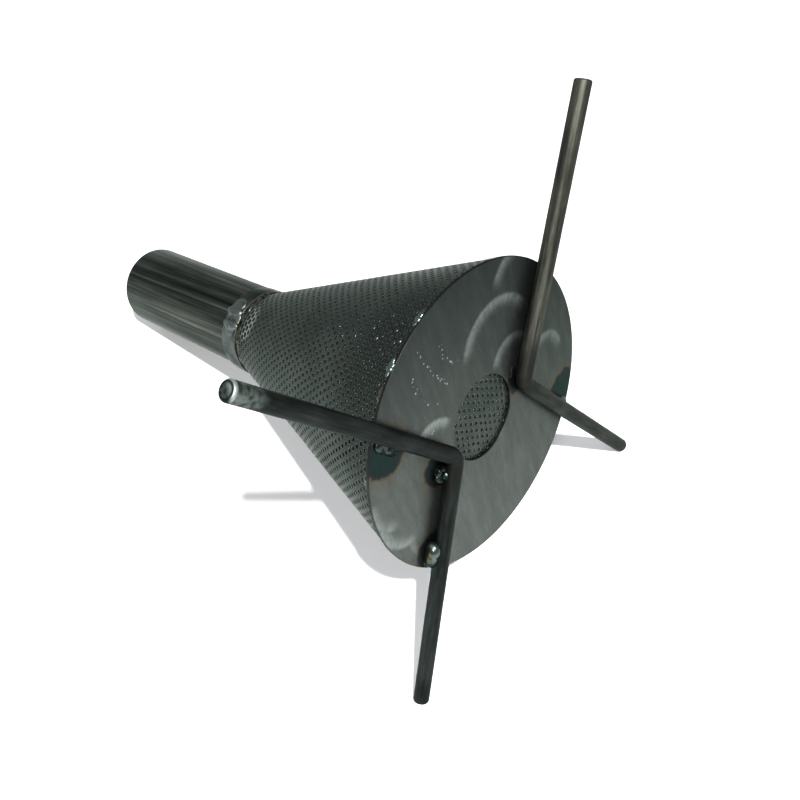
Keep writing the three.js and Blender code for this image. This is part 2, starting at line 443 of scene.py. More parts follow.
cone_start = plate_sheet + 0.0003  # a hair's gap behind the plate
cone_end = 0.150
cone_base = across("strainer_cone") / 2
cone_sheet = 0.001
cone_mouth = 0.02665
cone_half_angle = math.atan((cone_base - cone_mouth) / (cone_end - cone_start))
apex = cone_start + cone_base / math.tan(cone_half_angle)
blank_outer = cone_base / math.sin(cone_half_angle)
blank_inner = cone_mouth / math.sin(cone_half_angle)
blank_half = math.pi * math.sin(cone_half_angle)

hole_pitch = 0.00393
hole_radius = 0.00104
hole_lip = 0.00028
lip_drop = 0.00008
blank_middle = math.radians(126)  # where the blank's middle line lies; the seam is opposite
row_turn = math.radians(-0.7)


def punched_cell(centre, hole, turn):
    """One hexagon of sheet round its hole: an outer ring, a ring at the lip, and the hole's edge."""
    rings = []
    corner_reach, side_reach = hole_pitch / math.sqrt(3), hole_pitch / 2
    for reach in (None, hole + hole_lip, hole):
        ring = []
        for step in range(12):
            angle = turn + step * math.pi / 6
            radius = reach or (corner_reach if step % 2 else side_reach)
            ring.append((centre[0] + radius * math.cos(angle), centre[1] + radius * math.sin(angle)))
        rings.append(ring)
    return rings


def punched_blank(centres, hole_at, turn):
    """A flat sheet of cells as a bmesh, and which of its vertices lie on the edge of a hole."""
    sheet = bmesh.new()
    edge_mark = sheet.verts.layers.float.new("hole_edge")
    known = {}
    for centre in centres:
        corners = []
        for ring_index, ring in enumerate(punched_cell(centre, hole_at(centre), turn)):
            made = []
            for x, y in ring:
                key = (round(x * 2e5), round(y * 2e5))
                if ring_index or key not in known:
                    vertex = sheet.verts.new((x, y, 0))
                    vertex[edge_mark] = ring_index / 2
                    if not ring_index:
                        known[key] = vertex
                else:
                    vertex = known[key]
                made.append(vertex)
            corners.append(made)
        for outer, inner in zip(corners, corners[1:]):
            for step in range(12):
                beside = (step + 1) % 12
                sheet.faces.new((outer[step], outer[beside], inner[beside], inner[step]))
    return sheet


def lattice(turn, reach):
    """Staggered hole centres about the origin, out to a reach."""
    count = int(reach / hole_pitch * 1.3) + 2
    points = []
    for row in range(-count, count + 1):
        for column in range(-count, count + 1):
            x = (column + row / 2) * hole_pitch
            y = row * hole_pitch * math.sqrt(3) / 2
            if math.hypot(x, y) < reach:
                points.append((x * math.cos(turn) - y * math.sin(turn),
                               x * math.sin(turn) + y * math.cos(turn)))
    return points


def cut_away(sheet, place, side):
    """Cuts a blank along a line and drops what lies beyond it."""
    everything = sheet.verts[:] + sheet.edges[:] + sheet.faces[:]
    bmesh.ops.bisect_plane(sheet, geom=everything, dist=1e-7, plane_co=place, plane_no=side,
                           clear_outer=True)


def rolled_sheet(name, sheet, rolled_place, skin_steel):
    """Gives a flat punched sheet its thickness and its shape, with walls round every hole.
    rolled_place takes a flat point and how deep it lies under the sheet's outer skin."""
    edge_mark = sheet.verts.layers.float["hole_edge"]
    sheet.verts.index_update()
    count = len(sheet.verts)
    outer = []
    inner = []
    for vertex in sheet.verts:
        outer.append(rolled_place(vertex.co, lip_drop if vertex[edge_mark] > 0.9 else 0.0))
        inner.append(rolled_place(vertex.co, cone_sheet))
    faces = [[vertex.index for vertex in face.verts] for face in sheet.faces]
    outside = len(faces)
    faces += [[vertex.index + count for vertex in reversed(face.verts)] for face in sheet.faces]
    skin = len(faces)
    for edge in sheet.edges:
        if len(edge.link_faces) == 1:
            first, second = (vertex.index for vertex in edge.verts)
            faces.append([first, second, second + count, first + count])
    lips = [index for index, face in enumerate(sheet.faces)
            if any(vertex[edge_mark] > 0.9 for vertex in face.verts)]
    rolled = piece_from(name, outer + inner, faces, sharp_angle=12)
    # Lip faces take the painted highlight steel.
    for index in lips:
        rolled.data.polygons[index].material_index = 3
    # The inner skin takes the steel with painted light.
    for face in rolled.data.polygons[outside:skin]:
        face.material_index = 2
    for face in rolled.data.polygons[skin:]:
        face.material_index = 1
    for steel in (skin_steel, hole_walls, brightened_inner_skin, hole_lip_highlight):
        rolled.data.materials.append(steel)
    sheet.free()
    return rolled


neck_lean = sagging_side * 0.0017  # the neck was pulled to one side and drawn in
neck_draw = 0.0015


def cone_shift(along):
    """How far the cone's middle has moved off the axis, and how much narrower it is, at a depth."""
    share = (along - cone_start) / (cone_end - cone_start)
    return neck_lean * share, neck_draw * share


def on_cone(flat, depth):
    """A point of the blank, given as (angle in the blank, distance from its centre), on the cone."""
    angle = flat[0] / math.sin(cone_half_angle) + blank_middle
    slant = flat[1]
    radius = slant * math.sin(cone_half_angle) - depth * math.cos(cone_half_angle)
    along = apex - slant * math.cos(cone_half_angle) - depth * math.sin(cone_half_angle)
    shift, drawn = cone_shift(along)
    radius -= drawn
    return Vector((radius * math.cos(angle), radius * math.sin(angle), -along)) + shift


def neck_stretch(centre):
    """Holes near the pipe on the near side are drawn wider, where the sheet was worked hot."""
    slant = math.hypot(*centre)
    swing = abs(math.atan2(centre[0], centre[1]))
    near_neck = max(0.0, 1 - (slant - blank_inner) / 0.014)
    near_side = max(0.0, 1 - swing / 0.34)
    return hole_radius + 0.0005 * min(1.0, 2.2 * near_neck * near_side)


def punched_steel(name, brightness=1.0, worked_neck=False):
    """The sheet's dull mottled skin. worked_neck brightens the torn strands beside the collar, soots
    the very end, and paints the upper side towards the plate darker."""
    material, tree, shader = finish(name)
    where = coordinates(tree)
    clouds = grain(tree, where, 38, detail=5, roughness=0.6)
    specks = grain(tree, where, 900, detail=3)
    shades = [(0.36, (0.033, 0.041, 0.036)), (0.52, (0.052, 0.062, 0.056)),
              (0.68, (0.074, 0.083, 0.074))]
    base = ramp(tree, clouds, [(share, tuple(brightness * part for part in shade))
                               for share, shade in shades])
    mottled = mixed(tree, 0.5, base, ramp(tree, specks, [(0.35, 0.6), (0.65, 1.3)]), "MULTIPLY")
    if worked_neck:
        from_weld = measured(tree, "DISTANCE", where, on_neck(-2, 0.0255, 0.1445))
        torn = span(tree, plus(tree, from_weld, clouds, 0.006), 0.0095, 0.0150, 0.9, 0.0)
        mottled = mixed(tree, torn, mottled, (0.26, 0.29, 0.27))
        depth = measured(tree, "DOT_PRODUCT", where, (0, 0, 1))
        soot = span(tree, plus(tree, depth, clouds, 0.006), -0.1475, -0.1435, 0.7, 0.0)
        mottled = mixed(tree, soot, mottled, (0.020, 0.018, 0.013))
        # The cone's upper side towards the plate is painted darker.
        cone_upper_side = measured(tree, "DOT_PRODUCT", where, (-0.50, 0.87, 0.55))
        cone_upper_darkening = span(tree, plus(tree, cone_upper_side, clouds, 0.02), 0.040, 0.066, 0.0, 0.72)
        mottled = mixed(tree, cone_upper_darkening, mottled, (0.012, 0.015, 0.013))
    surfaced(tree, shader, mottled, ramp(tree, clouds, [(0.3, 0.30), (0.7, 0.45)]),
             relief(tree, specks, 0.00015, 0.4), 0.9)
    return material


def torn_steel(name, dark, light):
    """Steel at a punched hole: torn and oily on the walls, and lighter on the lips as a painted
    highlight.
    """
    material, tree, shader = finish(name)
    torn = grain(tree, coordinates(tree, (1, 1, 0.4)), 1300, detail=3)
    tree.links.new(ramp(tree, torn, [(0.35, dark), (0.65, light)]), shader.inputs["Base Color"])
    shader.inputs["Roughness"].default_value = 0.36
    shader.inputs["Metallic"].default_value = 0.9
    return material


hole_walls = torn_steel("punched_hole_walls", (0.030, 0.037, 0.033), (0.105, 0.125, 0.112))
# Painted highlight: the lips round the holes are painted lighter than the walls.
hole_lip_highlight = torn_steel("hole_lips_painted_highlight", (0.034, 0.042, 0.038), (0.118, 0.140, 0.128))
cone_steel = punched_steel("rolled_perforated_steel", 0.86, True)
# Painted light: the inner skin is the same steel painted 3.2 times brighter, standing in for light
# inside the cone.
brightened_inner_skin = punched_steel("inner_steel_painted_light", 3.2)
blank_spots = lattice(row_turn, blank_outer + hole_pitch)
quarter_swing = blank_half / 2
for quarter in range(4):
    low_swing = -blank_half + quarter * quarter_swing
    high_swing = low_swing + quarter_swing
    spare = hole_pitch / blank_inner
    spots = []
    for spot in blank_spots:
        swing = math.atan2(spot[0], spot[1])
        slant = math.hypot(*spot)
        if low_swing - spare < swing < high_swing + spare and slant > blank_inner - hole_pitch:
            spots.append(spot)
    blank = punched_blank(spots, neck_stretch, row_turn)
    for vertex in blank.verts:
        x, y, _ = vertex.co
        vertex.co = (math.atan2(x, y), math.hypot(x, y), 0)
    cuts = [((low_swing, 0, 0), (-1, 0, 0)), ((high_swing, 0, 0), (1, 0, 0)),
            ((0, blank_inner, 0), (0, -1, 0)), ((0, blank_outer, 0), (0, 1, 0))]
    for place, side in cuts:
        cut_away(blank, place, side)
    rolled = rolled_sheet(f"cone_sheet_{quarter + 1}", blank, on_cone, cone_steel)
    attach(rolled, "root")
    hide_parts("strainer_cone")


# ---- Cone seam ----------------------------------------------------------------------------------
# The cone's two straight edges are butted together and closed with one narrow run of weld.

seam_angle = math.radians(-54.1)
seam_half_width = 0.0018
seam_height = 0.0009
seam_from = cone_start + 0.0085
seam_to = cone_end - 0.002
seam_rings = 190
seam_sides = 16
seam_ripple = 1.25  # how far round a wave the ripples of the run move from one ring to the next


def cone_radius(along):
    return (apex - along) * math.tan(cone_half_angle)


seam_vertices = []
seam_side = Vector((-math.sin(seam_angle), math.cos(seam_angle), 0))
seam_out = Vector((math.cos(seam_angle) * math.cos(cone_half_angle),
                   math.sin(seam_angle) * math.cos(cone_half_angle), -math.sin(cone_half_angle)))
for ring in range(seam_rings + 1):
    share = ring / seam_rings
    along = seam_from + (seam_to - seam_from) * share
    end_taper = min(1.0, math.sin(math.pi * share) * 14)
    swell = 1 + 0.16 * math.sin(ring * seam_ripple) + 0.25 * noise.noise(Vector((ring * 0.35, 0, 4)))
    sway = 0.0003 * noise.noise(Vector((ring * 0.12, 7, 0)))
    shift, drawn = cone_shift(along)
    radius = cone_radius(along) - drawn
    foot = Vector((math.cos(seam_angle) * radius, math.sin(seam_angle) * radius, -along)) + shift
    for side in range(seam_sides):
        angle = 2 * math.pi * side / seam_sides
        lift = math.sin(angle) * seam_height * swell * end_taper
        if lift < 0:
            lift *= 0.5
        wide = math.cos(angle) * seam_half_width * (0.85 + 0.15 * swell) * end_taper + sway
        seam_vertices.append(foot + seam_side * wide + seam_out * (lift + 0.0001))
seam_faces = quads(seam_rings + 1, seam_sides)
seam_faces.append(tuple(range(seam_sides)))
seam_faces.append(tuple(range(seam_rings * seam_sides, (seam_rings + 1) * seam_sides)))
scorched_weld = weld_steel("scorched_weld_metal", (0.090, 0.092, 0.080), (0.085, 0.068, 0.040),
                           (0.014, 0.016, 0.015), 0.14, 0.16, 0.24)
cone_seam = piece_from("seam_run", seam_vertices, seam_faces, sharp_angle=70)
cone_seam.data.materials.append(scorched_weld)
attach(cone_seam, "root")
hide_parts("cone_seam_weld")


# ---- Neck weld ----------------------------------------------------------------------------------
# A scorched bead in the narrow gap between the cone's small end and the collar, run on to the pipe.

neck_start, neck_end = away("neck_weld")
neck_radius = across("neck_weld") / 2
bead_inside = pipe_radius - 0.0006
bead_outside = neck_radius - 0.0012
bead_start = neck_start - 0.0008
neck_outline = rounded([(bead_inside, bead_start), (bead_outside, bead_start),
                        (bead_outside, neck_end), (bead_inside, neck_end)], 0.0011, 5)
neck_weld = turned("neck_bead", neck_outline, 220, wobble=0.0007, seed=17, centre=pipe_centre)
neck_weld.data.materials.append(scorched_weld)
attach(neck_weld, "root")
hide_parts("neck_weld")


# ---- End plate ----------------------------------------------------------------------------------
# A 150 mm disc cut from 1.5 mm sheet, with a 42 mm hole in the middle. Its face was gone over with
# a sanding disc, whose arcs are painted lighter as highlights, and it is blued and browned round the
# tack welds.

plate_hole = 0.021
arc_width = 0.0085
arc_edge = 0.0020

# Each sanding arc, painted as a highlight: its centre across and up the face, its radius, the middle
# and half of its sweep in degrees, and how bright its painted highlight is.
sanding_arc_highlights = [
    ((-0.0330, 0.0085), 0.0150, 84, 62, 0.85),
    ((0.0270, 0.0120), 0.0145, 95, 66, 0.55),
    ((0.0200, 0.0260), 0.0250, 88, 74, 0.60),
    ((0.0420, 0.0460), 0.0200, 95, 60, 0.55),
    ((0.0500, -0.0040), 0.0135, 55, 66, 0.40),
    ((-0.0600, 0.0060), 0.0150, 200, 60, 0.60),
    ((-0.0560, -0.0060), 0.0180, 212, 60, 0.75),
    ((-0.0420, -0.0250), 0.0200, 205, 44, 0.55),
]
# Each chain of bright specks where grit skipped over the face: its two ends.
speck_chains = [
    ((-0.0330, 0.0520), (-0.0230, 0.0280)),
    ((-0.0250, 0.0620), (-0.0140, 0.0340)),
    ((-0.0130, 0.0560), (-0.0070, 0.0400)),
    ((-0.0480, 0.0340), (-0.0300, 0.0190)),
]
# Each heat mark: its place on the face, its radius and how dark it is.
heat_marks = [
    ((-0.0580, 0.0310), 0.0110, 0.95),
    ((-0.0345, -0.0010), 0.0085, 0.95),
    ((-0.0525, -0.0400), 0.0100, 0.9),
    ((0.0600, -0.0340), 0.0120, 0.9),
    ((0.0255, 0.0010), 0.0060, 0.9),
]


def arc_highlight_mask(tree, where, place, radius, middle_angle, half_sweep, strength):
    """A painted highlight mask along one arc that a sanding disc's edge left: sharp outside, fading
    inwards.
    """
    out = offset_from(tree, where, place)
    distance = measured(tree, "LENGTH", out)
    rising = sums(tree, "POWER", span(tree, distance, radius - arc_width, radius), 2.2)
    falling = span(tree, distance, radius - 0.0002, radius + arc_edge, 1.0, 0.0)
    facing = node(tree, "ShaderNodeVectorMath", {"operation": "NORMALIZE"}, i0=out).outputs[0]
    toward = measured(tree, "DOT_PRODUCT", facing, spoke(math.radians(middle_angle)))
    edge = math.cos(math.radians(half_sweep))
    within = span(tree, toward, edge, min(edge + 0.35, 0.99))
    band = times(tree, times(tree, rising, falling), within)
    hairs = span(tree, grain(tree, facing, 14, detail=5, roughness=0.7), 0.30, 0.68, 0.60, 1.0)
    return times(tree, times(tree, band, hairs), strength)


def speck_chain(tree, where, start, end):
    """A mask of small round specks strung along a line across the face."""
    spots = node(tree, "ShaderNodeTexVoronoi", Vector=where, Scale=520.0)
    small = span(tree, spots.outputs["Distance"], 0.14, 0.34, 1.0, 0.0)
    run = Vector((end[0] - start[0], end[1] - start[1], 0))
    square_off = Vector((-run.y, run.x, 0)).normalized()
    from_start = offset_from(tree, where, start)
    along = measured(tree, "DOT_PRODUCT", from_start, run / run.length_squared)
    side = measured(tree, "DOT_PRODUCT", from_start, square_off)
    left = sums(tree, "SUBTRACT", 1.0, along)
    bow = times(tree, times(tree, along, left), 0.012)
    astray = sums(tree, "ABSOLUTE", plus(tree, side, bow))
    near = span(tree, astray, 0.0008, 0.0016, 1.0, 0.0)
    within = times(tree, span(tree, along, -0.02, 0.02), span(tree, along, 0.98, 1.02, 1.0, 0.0))
    return times(tree, times(tree, small, near), within)


def sanded_plate():
    """Sheet sanded by hand, with strokes, arcs painted as highlights, specks and heat marks, and a
    painted reflection that lightens it downhill.
    """
    material, tree, shader = finish("sanded_plate_steel")
    where = coordinates(tree, (1, 1, 0))
    broad = grain(tree, where, 22, detail=4)
    brushed = grain(tree, coordinates(tree, (1, 0.12, 1)), 1100, detail=4)
    fine = grain(tree, where, 1400, detail=4)
    # Painted reflection: the face is painted lighter downhill, towards the lower left.
    downhill = measured(tree, "DOT_PRODUCT", where, (-0.55, -0.84, 0))
    painted_reflection = span(tree, plus(tree, downhill, broad, 0.03), -0.055, 0.085)
    base = mixed(tree, painted_reflection, (0.034, 0.040, 0.037), (0.084, 0.093, 0.086))
    strokes = grain(tree, mapped(tree, where, (1, 0.22, 1), 0.35), 150, detail=6, roughness=0.65)
    stroke_shade = ramp(tree, strokes, [(0.34, 0.72), (0.50, 0.98), (0.66, 1.34)])
    base = mixed(tree, 0.5, base, stroke_shade, "MULTIPLY")
    arcs = None
    for arc in sanding_arc_highlights:
        mask = arc_highlight_mask(tree, where, *arc)
        arcs = mask if arcs is None else sums(tree, "MAXIMUM", arcs, mask)
    patchy = span(tree, grain(tree, where, 200, detail=5), 0.25, 0.55, 0.35, 1.0)
    # Painted highlight: the arcs are painted in a light steel colour.
    colour = mixed(tree, times(tree, arcs, patchy), base, (0.235, 0.265, 0.250))
    for start, end in speck_chains:
        colour = mixed(tree, speck_chain(tree, where, start, end), colour, (0.25, 0.285, 0.27))
    waves = sums(tree, "SUBTRACT", grain(tree, where, 160, detail=3), 0.5)
    for place, radius, darkness in heat_marks:
        from_mark = measured(tree, "LENGTH", offset_from(tree, where, place))
        ragged = plus(tree, from_mark, waves, 0.006)
        brown_halo = (0.0, 0.0065, 0.6, (0.072, 0.062, 0.042))
        black_ring = (-0.0010, 0.0012, darkness, (0.014, 0.015, 0.018))
        blued_middle = (-0.0040, -0.0008, darkness, (0.010, 0.021, 0.020))
        for full, gone, strength, heat in (brown_halo, black_ring, blued_middle):
            mark = span(tree, ragged, radius + full, radius + gone, strength, 0.0)
            colour = mixed(tree, mark, colour, heat)
    from_middle = measured(tree, "LENGTH", where)
    # Painted shade: a thin dark line round the face's outer rim and round its hole, where the gaps
    # at its edges fall dark.
    outer_edge = span(tree, from_middle, plate_radius - 0.0004, plate_radius - 0.0001, 0.0, 0.8)
    hole_edge = span(tree, from_middle, plate_hole + 0.0001, plate_hole + 0.0004, 0.55, 0.0)
    colour = mixed(tree, sums(tree, "MAXIMUM", outer_edge, hole_edge), colour, (0.020, 0.023, 0.021))
    pitted = ramp(tree, fine, [(0.35, 0.75), (0.65, 1.2)])
    surfaced(tree, shader, mixed(tree, 0.35, colour, pitted, "MULTIPLY"),
             ramp(tree, brushed, [(0.3, 0.34), (0.7, 0.48)]), relief(tree, fine, 0.0001, 0.25), 0.95)
    return material


plate_outline = rounded([(plate_hole, 0), (plate_radius, 0), (plate_radius, plate_sheet),
                         (plate_hole, plate_sheet)], 0.0003, 3)
end_plate = turned("end_disc", plate_outline, 240)
end_plate.data.materials.append(sanded_plate())
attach(end_plate, "root")
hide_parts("end_plate")


# ---- Hole screen --------------------------------------------------------------------------------
# A disc of the same punched sheet, a little wider than the plate's hole and held behind it.

screen_radius = across("hole_screen") / 2
screen_turn = math.radians(21)
screen_face = plate_sheet + 0.0001
screen_cells = lattice(screen_turn, screen_radius + hole_pitch)
screen_flat = punched_blank(screen_cells, lambda centre: hole_radius, screen_turn)
rim_cuts = 48
for cut in range(rim_cuts):
    side = spoke(2 * math.pi * cut / rim_cuts)
    cut_away(screen_flat, side * screen_radius, side)
hole_screen = rolled_sheet("screen_disc", screen_flat,
                           lambda flat, depth: Vector((flat.x, flat.y, -screen_face - depth)),
                           punched_steel("flat_perforated_steel", 0.74))
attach(hole_screen, "root")
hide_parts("hole_screen")


# ---- Screen tacks -------------------------------------------------------------------------------
# Three dabs of weld behind the plate hold the screen's edge.

for number in (1, 2, 3):
    place = node_place(f"screen_tack_{number}")
    turn = math.atan2(place.y, place.x)
    lumps = [(place, (0.0020, 0.0026, 0.0014), turn, 0.0),
             (place + Vector((0, 0, 0.0006)), (0.0026, 0.0020, 0.0009), turn, 0.0)]
    dab = weld_bead(f"screen_dab_{number}", lumps, 0.0002, number)
    dab.data.materials.append(scorched_weld)
    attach(dab, "root")
    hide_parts(f"screen_tack_{number}")


# ---- Stand-off bars -----------------------------------------------------------------------------
# Two lengths of 8 mm hot-rolled round bar, each bent once over a vice and laid flat on the plate
# with the bend's mouth outwards. Their ends are sawn and ground; one end was ground bright, with a
# painted highlight crescent on its bevel.

bar_radius = 0.004
bar_bend_radius = 0.007
bar_bend = math.radians(113.8)
bar_lift = bar_radius + 0.0001
bar_corner = {"a": (0.0264, 2.2), "b": (0.0258, 178.3)}
bar_mouth = {"a": -0.3, "b": 183.0}
bar_arms = {"a": (0.1353, 0.138), "b": (0.134, 0.138)}
dished_end = 0.0004
ground_edge = 0.0011
dent_depth = 0.00006
dents_per_metre = 420


def bar_line(letter):
    """The bar's centre line as (place, direction) stations: one arm, the bend, the other arm."""
    reach, corner_angle = bar_corner[letter]
    corner = spoke(math.radians(corner_angle)) * reach + Vector((0, 0, bar_lift))
    mouth = math.radians(bar_mouth[letter])
    centre = corner + spoke(mouth) * bar_bend_radius / math.sin(bar_bend / 2)
    turn = math.pi - bar_bend
    first = spoke(mouth + bar_bend / 2)
    second = spoke(mouth - bar_bend / 2)
    first_length, second_length = bar_arms[letter]
    tip = corner + first * first_length
    bend_start = corner + first * bar_bend_radius / math.tan(bar_bend / 2)
    bend_end = corner + second * bar_bend_radius / math.tan(bar_bend / 2)
    stations = []
    arm_steps = 24
    for step in range(arm_steps):
        stations.append((tip.lerp(bend_start, step / arm_steps), -first))
    bend_steps = 14
    for step in range(bend_steps + 1):
        angle = mouth + math.pi - turn / 2 + turn * step / bend_steps
        heading = spoke(angle + math.pi / 2)
        stations.append((centre + spoke(angle) * bar_bend_radius, heading))
    far_tip = corner + second * second_length
    for step in range(1, arm_steps + 1):
        stations.append((bend_end.lerp(far_tip, step / arm_steps), second))
    return stations


def swept_bar(name, stations, seed):
    """A round bar along its stations, with ground edges and slightly dished faces at both ends."""
    sides = 40
    profile = [(dished_end, 0.0), (dished_end * 0.7, bar_radius * 0.45),
               (0.0, bar_radius - ground_edge)]
    for step in range(1, 5):
        angle = math.pi / 2 * step / 4
        profile.append((ground_edge * (1 - math.cos(angle)),
                        bar_radius - ground_edge * (1 - math.sin(angle))))
    (tip, heading), (far_tip, last) = stations[0], stations[-1]
    rings = [(tip + heading * inset, heading, radius) for inset, radius in profile]
    rings += [(place, heading, bar_radius) for place, heading in stations[1:-1]]
    rings += [(far_tip - last * inset, last, radius) for inset, radius in reversed(profile)]
    vertices = []
    up = Vector((0, 0, 1))
    for place, heading, radius in rings:
        side = up.cross(heading)
        for step in range(sides):
            angle = 2 * math.pi * step / sides
            outward = side * math.cos(angle) + up * math.sin(angle)
            point = place + outward * radius
            dent = 0.0
            if radius:
                dent = dent_depth * noise.noise(point * dents_per_metre + Vector((seed, 0, 0)))
            vertices.append(point + outward * dent)
    bar = piece_from(name, vertices, quads(len(rings), sides), sharp_angle=50)
    work = bmesh.new()
    work.from_mesh(bar.data)
    bmesh.ops.remove_doubles(work, verts=work.verts, dist=1e-6)
    work.to_mesh(bar.data)
    work.free()
    return bar


def bar_steel(name, arm_angle, dark, light, corner, burnt_to, tip, inward, ground):
    """Hot-rolled scale rubbed in streaks along an arm, and blackened by heat out to burnt_to. A
    ground end has a dished grey face, a dark bevel with a painted highlight crescent on one side,
    and a scuffed sleeve."""
    material, tree, shader = finish(name)
    own = coordinates(tree)
    turned_along = mapped(tree, own, turn=-arm_angle)
    lines = grain(tree, mapped(tree, turned_along, (0.04, 1, 1)), 950, detail=5, roughness=0.6)
    patches = grain(tree, mapped(tree, turned_along, (0.3, 1, 1)), 140, detail=5, roughness=0.6)
    scale_colour = ramp(tree, patches, [(0.36, dark), (0.64, light)])
    line_colour = ramp(tree, lines, [(0.36, 0.45), (0.64, 1.6)])
    streaked = mixed(tree, 0.75, scale_colour, line_colour, "MULTIPLY")
    from_bend = plus(tree, measured(tree, "DISTANCE", own, corner), patches, 0.012)
    heated = span(tree, from_bend, burnt_to * 0.45, burnt_to, 0.85, 0.0)
    colour = mixed(tree, heated, streaked, (0.012, 0.012, 0.011))
    if ground:
        from_tip = offset_from(tree, own, tip)
        axial = measured(tree, "DOT_PRODUCT", from_tip, inward)
        scuffed = span(tree, plus(tree, axial, patches, 0.016), 0.016, 0.023, 0.8, 0.0)
        rubbed = ramp(tree, grain(tree, own, 420), [(0.38, (0.030, 0.038, 0.034)),
                                                    (0.60, (0.120, 0.145, 0.130))])
        colour = mixed(tree, scuffed, colour, rubbed)
        face = span(tree, axial, 0.0004, 0.0010, 1.0, 0.0)
        dished = ramp(tree, grain(tree, own, 700), [(0.38, (0.014, 0.020, 0.018)),
                                                    (0.62, (0.060, 0.075, 0.069))])
        colour = mixed(tree, face, colour, dished)
        from_middle = measured(tree, "DISTANCE", own, tip)
        bevel = times(tree, span(tree, from_middle, bar_radius - 0.0016, bar_radius - 0.0010),
                      span(tree, axial, 0.0010, 0.0016, 1.0, 0.0))
        colour = mixed(tree, bevel, colour, (0.010, 0.013, 0.012))
        # Painted highlight: a bright crescent on one side of the bevel.
        lower_edge = measured(tree, "DOT_PRODUCT", from_tip, (0.80, -0.45, 0.40))
        crescent_highlight = times(tree, span(tree, lower_edge, 0.0016, 0.0032),
                         span(tree, axial, 0.0010, 0.0018, 1.0, 0.0))
        crescent_highlight = times(tree, crescent_highlight, span(tree, axial, 0.0000, 0.0003))
        colour = mixed(tree, crescent_highlight, colour, (0.27, 0.31, 0.29))
    surfaced(tree, shader, colour, ramp(tree, lines, [(0.3, 0.46), (0.7, 0.62)]),
             relief(tree, lines, 0.0002, 0.3), 0.85)
    return material


# Each arm's scale: its darker and lighter colours and how far heat blackened it from the bend.
arm_finishes = {
    "a": [((0.026, 0.027, 0.021), (0.056, 0.058, 0.047), 0.034),
          ((0.013, 0.015, 0.0135), (0.032, 0.034, 0.030), 0.020)],
    "b": [((0.007, 0.009, 0.0085), (0.020, 0.024, 0.023), 0.030),
          ((0.006, 0.0075, 0.007), (0.017, 0.020, 0.019), 0.016)],
}
bar_dents = {"a": 11, "b": 29}
ground_arm = ("b", 1)
for letter, arms in arm_finishes.items():
    line = bar_line(letter)
    bar = swept_bar(f"bent_bar_{letter}", line, bar_dents[letter])
    corner = line[len(line) // 2][0]
    for arm, (dark, light, burnt_to) in enumerate(arms):
        tip, heading = line[-arm]
        inward = -heading if arm else heading
        bar.data.materials.append(bar_steel(
            f"round_bar_scale_{letter}_{arm + 1}", math.atan2(heading.y, heading.x), dark, light,
            corner, burnt_to, tip, inward, (letter, arm) == ground_arm))
    toward_first, toward_second = -line[0][1], line[-1][1]
    for face in bar.data.polygons:
        off_corner = face.center - corner
        face.material_index = int(off_corner.dot(toward_first) <= off_corner.dot(toward_second))
    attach(bar, "root")
    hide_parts(f"standoff_bar_{letter}")


# ---- Bar tacks ----------------------------------------------------------------------------------
# Short stops of weld fix each bar to the plate: at the rim and at the bend. The metal froze glossy,
# with a crater where the arc was lifted off and gold and brown heat colours on its flanks.

# Each tack: the angle of its bar's arm, which side of the arm it is on, and its lumps as
# (along the arm, off the arm, height) with their half sizes in the same order.
bar_tacks = {
    "bar_a_tack_corner": (57, 1, "black", [((0, 0.0008, -0.0014), (0.0034, 0.0014, 0.0010))]),
    "bar_a_tack_rim": (-57, 1, "bright", [
        ((-0.0026, -0.0010, 0.0004), (0.0024, 0.0026, 0.0030)),
        ((0.0022, -0.0008, -0.0016), (0.0046, 0.0030, 0.0020))]),
    "bar_b_tack_rim": (126, 1, "sooty", [
        ((-0.0020, -0.0004, -0.0008), (0.0046, 0.0036, 0.0026)),
        ((0.0034, -0.0002, -0.0014), (0.0046, 0.0036, 0.0020))]),
    "bar_b_tack_corner": (-120, -1, "sooty", [
        ((-0.0010, 0.0008, -0.0014), (0.0046, 0.0040, 0.0022)),
        ((-0.0034, 0.0010, -0.0002), (0.0014, 0.0024, 0.0020)),
        ((-0.0022, 0.0032, -0.0004), (0.0022, 0.0013, 0.0018)),
        ((0.0008, 0.0036, -0.0006), (0.0022, 0.0013, 0.0016)),
        ((0.0022, 0.0012, -0.0002), (0.0013, 0.0026, 0.0019)),
        ((0.0006, -0.0012, 0.0004), (0.0024, 0.0014, 0.0022))]),
    "bar_b_tack_lower": (-113, -1, "golden", [
        ((-0.0026, 0.0012, 0.0000), (0.0046, 0.0034, 0.0040)),
        ((0.0006, 0.0012, -0.0004), (0.0064, 0.0036, 0.0034)),
        ((0.0044, 0.0010, -0.0026), (0.0036, 0.0036, 0.0018))]),
}


# Each look: its clean, heat-tinted and scorched colours, the shares tinted and scorched, its shine,
# and how far along the arm its crater lies and how far that reaches.
stop_looks = {
    "black": ((0.014, 0.016, 0.015), (0.022, 0.020, 0.014), (0.006, 0.008, 0.008),
              0.08, 0.16, 0.34, None),
    "bright": ((0.17, 0.20, 0.19), (0.10, 0.10, 0.065), (0.012, 0.024, 0.023),
               0.04, 0.06, 0.24, (0.0040, 0.0026)),
    "golden": ((0.085, 0.112, 0.112), (0.070, 0.060, 0.024), (0.008, 0.020, 0.020),
               0.06, 0.02, 0.20, (0.0060, 0.0052)),
    "sooty": ((0.034, 0.045, 0.042), (0.034, 0.030, 0.018), (0.006, 0.011, 0.011),
              0.08, 0.18, 0.20, None),
}


